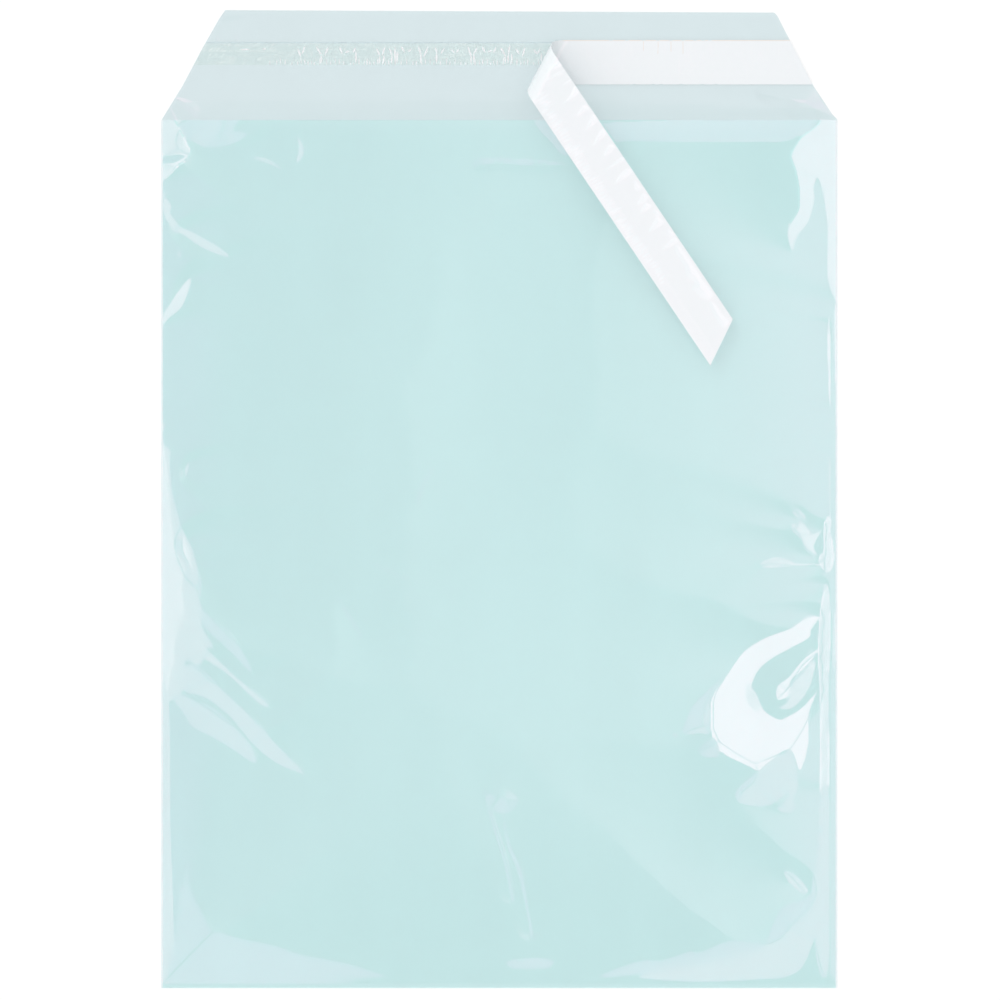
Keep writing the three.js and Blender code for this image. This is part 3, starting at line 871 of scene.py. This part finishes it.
adhesive = {
    "cell": 4,  # pixels
    "levels": 4,
    "rows": 6,
    "inset": 0.1 * mm,  # from the flap's cut ends
    "lean": 8,
    "bead": 0.45 * mm,  # the glue is thicker along its upper edge, and that band is drawn darker as painted shade too
    "strokeWidth": 2.0,
    "drawn": 0.005 * mm,  # the glue is milky above this height over its surface, which also paints the puckers' highlights
    # where the liner was pulled off, the glue is drawn up into small V shaped puckers, here as lines on the
    # photograph, and into short ticks along its lower edge
    "puckers": [
        (297.5, 48, 300.8, 57), (305, 46, 302.2, 54), (316, 46, 321.4, 55), (328.3, 47, 324.5, 56),
        (321.6, 55, 321, 64), (339.3, 46.8, 342.5, 54), (345, 52.5, 350, 51), (355.5, 47.4, 353, 53),
        (356, 51, 356, 64), (376, 47.4, 380.2, 56), (385, 46.4, 382, 56.3), (380, 56, 379, 64),
        (384, 55, 383.5, 64), (389.3, 48, 392.3, 56), (392, 55, 391.6, 64), (395, 46, 395.4, 64),
        (397.3, 51, 397, 64), (401, 46, 404.9, 53), (411.5, 49, 408, 52), (418, 46, 421.5, 56),
        (421.2, 54, 420.5, 64), (428.5, 46, 423.3, 58), (435, 47, 437.2, 53), (436.5, 52, 436.5, 64),
        (444.5, 48, 441, 54), (450.5, 49, 455, 53), (459, 49, 456.3, 52.6), (467.5, 46, 472, 58.5),
        (471, 57, 471, 64), (477.5, 47, 473.3, 55), (473.8, 53, 474, 64), (482, 46, 485.3, 53),
        (487, 52, 492, 50.5), (496, 47, 493.6, 53), (500.5, 47, 505.2, 56), (505, 54, 505.6, 64),
        (510, 44.5, 508.2, 56), (508.3, 54, 508, 64), (511.5, 53, 512, 64), (515.5, 48.5, 519.3, 54),
        (525, 47, 522.3, 57), (533, 49, 538, 54.5), (540.5, 48, 537.6, 53.5), (541.5, 53, 541.5, 62),
        (262, 49, 266, 49), (240, 49.6, 250, 49.4),
    ],
    "tickFrom": 270,
    "tickTo": 546,
    "tickRow": 64.6,
    "tickFoot": 66,
    "tickLength": (2.5, 8),
    "tickLean": (5, 7),
    "tickDrift": (-0.4, 0.4),
    "tickWidth": (1.0, 1.6),
    "tickSpacing": (2.6, 7.0),
}


def makeAdhesive():
    tents = [(adhesive["lean"], stroke(*line, adhesive["strokeWidth"])) for line in adhesive["puckers"]]
    px = adhesive["tickFrom"]
    while px < adhesive["tickTo"]:
        top = adhesive["tickRow"] - random.uniform(*adhesive["tickLength"])
        lean = random.uniform(*adhesive["tickLean"])
        foot = px + random.uniform(*adhesive["tickDrift"])
        width = random.uniform(*adhesive["tickWidth"])
        tents.append((lean, stroke(px, top, foot, adhesive["tickFoot"], width)))
        px += random.uniform(*adhesive["tickSpacing"])
    rows = adhesive["rows"]
    split = adhesiveHigh.y - adhesive["bead"]

    def placeOf(u, v):
        y = np.interp(v, (0, 1 - 1 / rows, 1), (adhesiveLow.y, split, adhesiveHigh.y))
        side, edge = acrossFlap(u, y)
        return side * (edge - adhesive["inset"]), y

    columns = round(2 * adhesiveHigh.x / photo["pixel"] / adhesive["cell"])
    strip = addGrid("adhesiveStrip", columns, rows)
    halveUnderTents(strip, adhesive["levels"], adhesive["cell"], tents, placeOf)
    x, y = placeOf(*shares(places(strip)))
    z = adhesiveLow.z + tentHeight(*inPhoto(x, y), tents)
    moveVertices(strip, x, y, z)
    apply(strip, "TRIANGULATE", quad_method="LONGEST_DIAGONAL")
    apply(strip, "SOLIDIFY", thickness=adhesiveHigh.z - adhesiveLow.z, offset=1)
    for material in (glueBeadShaded, glueUnder, drawnGlueHighlit):
        strip.data.materials.append(material)
    drawnHeight = adhesiveHigh.z + adhesive["drawn"]
    for face in strip.data.polygons:
        # the band along the upper edge takes the darker glue, painted shade along the edge
        if face.center.y > split:
            face.material_index = 0
        elif face.normal.z <= 0.5:
            face.material_index = 1
        else:
            # raised pucker faces take the milky glue, partly its own whitening and partly a painted highlight
            face.material_index = 2 if face.center.z > drawnHeight else 3
    finishPiece(strip, glueFilm, "adhesive", ["adhesive_strip"], "flap", sharp=3)


# Release liner: flat on the right, then round a half turn, then back over the pocket to its tip
bandLow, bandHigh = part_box("liner_band")
curlLow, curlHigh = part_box("liner_curl")
tailLow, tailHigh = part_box("liner_tail")
tailJoint = next(j for j in frame["joints"] if j["name"] == "tail_lift")
along = np.array(tailJoint["axis"][:2])
across = np.array([along[1], -along[0]])
liner = {
    "width": bandHigh.y - bandLow.y,
    "thickness": bandHigh.z - bandLow.z,
    "radius": (curlHigh.z - curlLow.z) / 2,
    "startX": bandLow.x,
    "startY": bandLow.y,
    "lift": 0.03 * mm,
    "bendLength": 8 * mm,
    "columns": 900,
    "rows": 42,
}


def pastFlapEdge(height, side):
    y = liner["startY"] + height
    x = flapEdge(y, 1) if side > 0 else -halfWidth + (y - lipY) * flapSlant
    return (x - liner["startX"]) * across[0] + height * across[1]


tailReach = pastFlapEdge(0, -1) - math.pi * liner["radius"]
droop = math.asin((tailHigh.z - tailLow.z - liner["thickness"]) / tailReach)
curlTurn = math.pi + droop
curlArc = curlTurn * liner["radius"]


def peeled(height, past, depth):
    turn = np.clip(past / liner["radius"], 0, curlTurn)
    beyond = np.clip(past - curlArc, 0, None)
    radius = liner["radius"] - depth
    s = (past * across[1] - height) / -along[1]
    n = np.minimum(past, 0) + radius * np.sin(turn) + beyond * np.cos(turn)
    x = liner["startX"] + s * along[0] + n * across[0]
    y = liner["startY"] + s * along[1] + n * across[1]
    z = bandLow.z + liner["radius"] - radius * np.cos(turn) + beyond * np.sin(turn)
    return x, y, z


# Peeling stretches the liner's edges, so it is crimped across: short crimps along the edge that left the glue
# first and broader wedges along the other
wedges = [
    (8, [(560, 60), (563.5, 64), (555, 69.5), (546, 73), (551, 67)]),
    (8, [(564, 70), (562, 73.5), (556, 77), (546, 81), (553, 74.5)]),
    (8, [(572, 78.5), (571, 81), (562, 87), (565, 82.5)]),
    (8, [(575, 86), (579.5, 92), (573, 98), (563, 104), (570, 95)]),
    (8, [(583, 105), (590, 109), (584, 112), (577, 116.5), (579, 111)]),
    (8, [(592.5, 114), (597.5, 121), (592, 126), (585.5, 130), (587.5, 124)]),
    (8, [(602, 129), (606.5, 134), (600, 140), (592.5, 147), (596, 137)]),
    (8, [(610, 144), (615, 148), (610, 153), (603.5, 156.5), (605, 150)]),
    (7, [(621, 157), (624.5, 160), (616, 165), (604, 171), (612, 164)]),
    (8, [(627, 168), (633, 172), (625, 178), (615, 184), (619, 175)]),
    (7, [(634, 180), (641, 188), (637, 191), (634, 187)]),
    (8, [(643, 193), (648, 198), (644, 203), (637, 205), (639, 199)]),
    (8, [(646, 203), (652, 206), (647, 210), (640, 213), (642, 207)]),
    (7, [(654, 209), (660, 215), (656, 217), (653, 213)]),
    (8, [(657, 217), (664, 223), (657, 228), (648, 233), (652, 224)]),
    (7, [(668, 229), (674, 235), (671, 238), (667, 234)]),
    (8, [(674, 237), (678, 242), (672, 246), (661, 250), (668, 242)]),
    (5.4, [
        (675, 245), (681, 248), (691, 262), (702, 279), (713, 295), (705, 300), (692, 289), (694, 283),
        (686, 276), (684, 266), (676, 254),
    ]),
    (5.2, [(709, 302), (715, 304), (723, 315), (729, 321), (723, 328), (714, 316)]),
]
crimps = {
    "from": (531, 102),  # along the tail's lower edge in the photograph
    "to": (655, 287),
    "along": (0.557, 0.831),
    "across": (0.85, -0.53),
    "spacing": (2.4, 4.2),
    "start": (1.5, 4.5),
    # past the middle of the tail they start further in, and they get shorter towards its tip
    "furtherFrom": 0.55,
    "further": 10.5,
    "fade": 0.4,
    "reach": (9, 18),
    "turn": (-0.12, 0.12),
    "width": (2.2, 3.8),
    "lean": (6.0, 9.0),
    # the edge that left the glue first also curls down a little
    "curlWidth": 4.6 * mm,
    "curlLean": 5.0,
    "curlStart": 12 * mm,
}
band = {
    "wrinkles": 46,
    "wrinkleFrom": 566,
    "wrinkleTo": 800,
    "wrinkleTops": (42, 42, 46, 52, 60),  # rows
    "wrinkleFoot": 83,
    "wrinkleLength": (8, 24),
    "wrinkleDrift": (-1.5, 1.5),
    "wrinkleWidth": (1.2, 2.4),
    "wrinkleLean": (4.4, 5.6),
    "cutWidth": 0.6,  # pixels over which the cut edge shows
    # short tears from the upper edge, as (column, length) in pixels
    "tears": (
        (611, 2), (627, 1.5), (643.5, 11), (658, 14), (671, 12), (683, 14), (695, 2.5), (703, 2), (710, 1),
    ),
    # width of the painted shade line along each tear
    "tearWidth": 0.6,
    "tearDepth": 0.3 * mm,
    "lowNicks": (634, 653, 661, 681, 702, 716),
    "nickDepth": 0.25 * mm,
    "nickWidth": 1.1,
    "nickRows": 12,  # a nick pulls the border within a twelfth of the width
}
whiteningAndHighlight = {
    "border": 0.2,  # pixels inside a crimp where the film starts to whiten and to take its painted highlight
    "above": 1 * mm,  # only the peeled part, which lies this far above the band, takes the lighter tone
}


def crimpTents():
    tents = []
    length = math.dist(crimps["from"], crimps["to"])
    acrossX, acrossY = crimps["across"]
    step = 0
    while step < length:
        fade = 1 - crimps["fade"] * smooth(step / length)
        reach = random.uniform(*crimps["reach"]) * fade
        further = crimps["further"] * smooth(step / length - crimps["furtherFrom"])
        start = random.uniform(*crimps["start"]) + further
        x0 = crimps["from"][0] + step * crimps["along"][0] + start * acrossX
        y0 = crimps["from"][1] + step * crimps["along"][1] + start * acrossY
        turn = random.uniform(*crimps["turn"])
        x1 = x0 + reach * (acrossX - turn * acrossY)
        y1 = y0 + reach * (acrossY + turn * acrossX)
        lean = random.uniform(*crimps["lean"])
        tents.append((lean, stroke(x0, y0, x1, y1, random.uniform(*crimps["width"]))))
        step += random.uniform(*crimps["spacing"])
    return tents


def wrinkleTents():
    tents = []
    for i in range(band["wrinkles"]):
        px = random.uniform(band["wrinkleFrom"], band["wrinkleTo"])
        top = random.choice(band["wrinkleTops"])
        foot = min(top + random.uniform(*band["wrinkleLength"]), band["wrinkleFoot"])
        lean = random.uniform(*band["wrinkleLean"])
        drift = random.uniform(*band["wrinkleDrift"])
        tents.append((lean, stroke(px, top, px + drift, foot, random.uniform(*band["wrinkleWidth"]))))
    return tents


def nicks(px, middles, size):
    # small tears in an edge, as a pull of the border towards the middle
    return sum(size * np.exp(-(((px - middle) / band["nickWidth"]) ** 2)) for middle in middles)


flatTents = wrinkleTents()
peeledTents = crimpTents() + wedges


def makeLinerPart(name, nodes, startOf, endOf, **ride):
    strip = addGrid(name, liner["columns"], liner["rows"])
    u, v = shares(places(strip))
    height = v * liner["width"]
    past = startOf(height) + (endOf(height) - startOf(height)) * u
    flatX = (past - height * across[1]) / -across[0]
    px, py = inPhoto(*peeled(height, past, 0)[:2])
    flat = past < 0
    lowNicks = nicks(px, band["lowNicks"], band["nickDepth"])
    highNicks = nicks(px, [column for column, length in band["tears"]], band["tearDepth"])
    height = height + lowNicks * smooth(1 - v * band["nickRows"]) * flat
    height = height - highNicks * smooth(v * band["nickRows"] - band["nickRows"] + 1) * flat
    # what rises towards the eye goes outwards once the liner has turned over
    curled = np.minimum(height, crimps["curlWidth"]) * math.tan(math.radians(crimps["curlLean"]))
    curled = curled * smooth((past - curlArc) / crimps["curlStart"])
    raised = -tentHeight(px, py, peeledTents) - curled
    inward = np.where(past < liner["radius"], tentHeight(px, py, flatTents), raised)
    x, y, z = peeled(height, past, inward)
    moveVertices(strip, x, y, z + liner["lift"], flatX, height)
    centres = faceCentres(strip)
    px, py = inPhoto(centres[:, 0], centres[:, 1])
    stuck = centres[:, 2] < bandHigh.z + whiteningAndHighlight["above"]
    edge = inPhoto(0, bandHigh.y)[1]
    cut = py < edge + band["cutWidth"]
    # each tear is drawn as a thin darker line, painted shade in its crease
    for middle, length in band["tears"]:
        cut |= (np.abs(px - middle) < band["tearWidth"] / 2) & (py < edge + length)
    # crimp faces on the peeled part take a lighter tone: stress whitening and a painted highlight
    creased = np.zeros(len(px), bool)
    for lean, outline in peeledTents:
        near, depth = depthNear(px, py, outline)
        creased[near] |= depth > whiteningAndHighlight["border"]
    strip.data.materials.append(cutEdgeAndTearShadeFilm)
    strip.data.materials.append(crimpWhiteningAndHighlightFilm)
    slots = np.where(cut & stuck, 0, np.where(creased & ~stuck, 1, 2))
    strip.data.polygons.foreach_set("material_index", slots)
    apply(strip, "SOLIDIFY", thickness=liner["thickness"], offset=-1)
    finishPiece(strip, linerFilm, "release_liner", nodes, **ride, sharp=3)


def makeLiner():
    makeLinerPart(
        "releaseLinerBand",
        ["liner_band", "liner_curl"],
        lambda h: pastFlapEdge(h, 1),
        lambda h: curlArc + 0 * h,
        body="liner",
    )
    hinge = np.array(tailJoint["pos_m"])
    bendEnd = hinge + np.array([-across[0], -across[1], 0]) * liner["bendLength"]
    makeLinerPart(
        "releaseLinerTail",
        ["liner_tail"],
        lambda h: curlArc + 0 * h,
        lambda h: pastFlapEdge(h, -1),
        bend=("liner", "tail", tuple(hinge), tuple(bendEnd)),
    )


makeFrontPly()
makeBackPly()
makeBottomFold()
makeWeld(-1, "left_side_seal")
makeWeld(1, "right_side_seal")
makeAdhesive()
makeLiner()

# Stage: a white table, which stays white to the camera and still takes the shadows
table = {"size": 6, "drop": 0.3 * mm, "albedo": 0.5, "fill": 0.507}
bpy.ops.object.select_all(action="DESELECT")
bpy.ops.mesh.primitive_plane_add(size=table["size"], location=(0, 0, -table["drop"]))
tableTop = bpy.context.object
tableTop.name = "tableTop"
whiteTable, tree = newMaterial("whiteTable")
paint = addNode(tree, "ShaderNodeBsdfDiffuse", {"Color": (table["albedo"],) * 3 + (1,)})
path = addNode(tree, "ShaderNodeLightPath")
cameraRay = path.outputs["Is Camera Ray"]
fill = addNode(tree, "ShaderNodeEmission", {"Strength": table["fill"]})
glow = addNode(tree, "ShaderNodeAddShader", links={0: paint.outputs[0], 1: fill.outputs[0]})
bright = addNode(tree, "ShaderNodeBsdfDiffuse", {"Color": (0.9, 0.9, 0.9, 1)})
seen = addNode(
    tree, "ShaderNodeMath", None, {0: cameraRay, 1: path.outputs["Is Glossy Ray"]}, operation="MAXIMUM"
)
seen = addNode(
    tree,
    "ShaderNodeMath",
    None,
    {0: seen.outputs[0], 1: path.outputs["Is Transmission Ray"]},
    operation="MAXIMUM",
)
shaders = {0: seen.outputs[0], 1: bright.outputs[0], 2: glow.outputs[0]}
chosen = addNode(tree, "ShaderNodeMixShader", None, shaders)
addNode(tree, "ShaderNodeOutputMaterial", links={"Surface": chosen.outputs[0]})
tableTop.data.materials.append(whiteTable)

# Light: a plain soft ceiling. The film mirrors a dark gap round the camera where it lies flat, and where it
# is creased a dim ring and a bright ring of soft boxes, whose rosy white evens out the film's mint tint
sky = {
    "ceiling": 0.95,
    "gap": 8.2,  # degrees from straight up
    "gapBorder": 0.4,
    "rings": [
        (8.2, (0, 0, 0)),
        (8.6, (0.86, 0.30, 0.60)),
        (9.3, (1.1, 0.38, 0.74)),
        (10.2, (1.6, 0.6, 0.9)),
        (11.2, (2.1, 0.84, 1.1)),
        (12.2, (3.1, 1.47, 1.77)),
        (13.4, (4.2, 1.95, 2.3)),
        (22, (4.2, 1.95, 2.3)),
        (24.5, (0.8, 0.8, 0.8)),
        (90, (0.75, 0.75, 0.75)),
    ],
    # the room seen in the gap, from left to right, is lit from the right
    "room": [
        (-0.11, (0.36, 0.0, 0.22)),
        (-0.09, (0.16, 0.0, 0.08)),
        (-0.05, (0.20, 0.04, 0.08)),
        (0.0, (0.44, 0.32, 0.36)),
        (0.036, (0.60, 0.41, 0.45)),
        (0.07, (0.92, 0.55, 0.64)),
        (0.11, (1.24, 0.51, 0.73)),
    ],
    "roomSide": 0.12,
    "roomFront": (-0.08, 0.0, 0.08),  # it gets darker towards the foot of the sleeve, down to the last value
    "scale": 5.0,
}
world = bpy.data.worlds.new("softLight")
bpy.context.scene.world = world
world.use_nodes = True
tree = world.node_tree
tree.nodes.clear()
heading = addNode(tree, "ShaderNodeTexCoord")
parts = addNode(tree, "ShaderNodeSeparateXYZ", links={0: heading.outputs["Generated"]})
angle = addNode(tree, "ShaderNodeMath", None, {0: parts.outputs["Z"]}, operation="ARCCOSINE")
share = addNode(tree, "ShaderNodeMath", {1: 2 / math.pi}, {0: angle.outputs[0]}, operation="MULTIPLY")
ramp = addNode(tree, "ShaderNodeValToRGB", links={0: share.outputs[0]})
acrossRoom = addNode(
    tree,
    "ShaderNodeMapRange",
    {"From Min": -sky["roomSide"], "From Max": sky["roomSide"]},
    {"Value": parts.outputs["X"]},
)
room = addNode(tree, "ShaderNodeValToRGB", links={0: acrossRoom.outputs[0]})
ringStops = [(degrees / 90, colour) for degrees, colour in sky["rings"]]
roomStops = [(0.5 + side / 2 / sky["roomSide"], colour) for side, colour in sky["room"]]
for node, stops in ((ramp, ringStops), (room, roomStops)):
    marks = node.color_ramp.elements
    while len(marks) < len(stops):
        marks.new(0.5)
    for mark, (position, colour) in zip(marks, stops):
        mark.position = position
        mark.color = [c / sky["scale"] for c in colour] + [1]
front, back, darkest = sky["roomFront"]
towardFront = addNode(
    tree,
    "ShaderNodeMapRange",
    {"From Min": front, "From Max": back, "To Min": darkest, "To Max": 1},
    {"Value": parts.outputs["Y"]},
    interpolation_type="SMOOTHSTEP",
)
inGap = addNode(
    tree,
    "ShaderNodeMapRange",
    {"From Min": (sky["gap"] + sky["gapBorder"]) / 90, "From Max": sky["gap"] / 90},
    {"Value": share.outputs[0]},
)
factors = {0: towardFront.outputs[0], 1: inGap.outputs[0]}
shade = addNode(tree, "ShaderNodeMath", None, factors, operation="MULTIPLY")
roomPart = addNode(tree, "ShaderNodeVectorMath", None, {0: room.outputs[0]}, operation="SCALE")
tree.links.new(shade.outputs[0], roomPart.inputs["Scale"])
terms = {0: ramp.outputs[0], 1: roomPart.outputs[0]}
total = addNode(tree, "ShaderNodeVectorMath", None, terms, operation="ADD")
mirrored = addNode(tree, "ShaderNodeBackground", {"Strength": sky["scale"]}, {"Color": total.outputs[0]})
ceiling = addNode(tree, "ShaderNodeBackground", {"Color": (1, 1, 1, 1), "Strength": sky["ceiling"]})
backdrop = addNode(tree, "ShaderNodeBackground", {"Color": (1, 1, 1, 1), "Strength": 1.0})
path = addNode(tree, "ShaderNodeLightPath")
shaders = {0: path.outputs["Is Glossy Ray"], 1: ceiling.outputs[0], 2: mirrored.outputs[0]}
lit = addNode(tree, "ShaderNodeMixShader", None, shaders)
shaders = {0: path.outputs["Is Camera Ray"], 1: lit.outputs[0], 2: backdrop.outputs[0]}
shown = addNode(tree, "ShaderNodeMixShader", None, shaders)
addNode(tree, "ShaderNodeOutputWorld", links={"Surface": shown.outputs[0]})

# a weak sun through a large diffuser, from the upper left, draws the crimps and the liner's soft shadow
keyLight = {"energy": 0.5, "spread": 30, "tilt": (-32, -28, 0)}
bpy.ops.object.light_add(type="SUN")
sun = bpy.context.object
sun.name = "keyLight"
sun.data.energy = keyLight["energy"]
sun.data.angle = math.radians(keyLight["spread"])
sun.rotation_euler = [math.radians(degrees) for degrees in keyLight["tilt"]]

# Camera: straight above through a long lens, so the sleeve is seen almost without perspective
view = {"lens": 1500, "frame": 1000 * photo["pixel"], "centre": onTable(500, 500), "clipEnd": 50}
bpy.ops.object.camera_add()
camera = bpy.context.object
camera.data.lens = view["lens"]
camera.data.clip_end = view["clipEnd"]
camera.location = (*view["centre"], view["frame"] * view["lens"] / camera.data.sensor_width)
camera.rotation_euler = (0, 0, 0)
scene = bpy.context.scene
scene.camera = camera
scene.view_settings.view_transform = "Standard"
# the folded flap and its glue over both plies make eight film faces, and a slanting view adds more
scene.cycles.transparent_max_bounces = 40
scene.cycles.max_bounces = 6
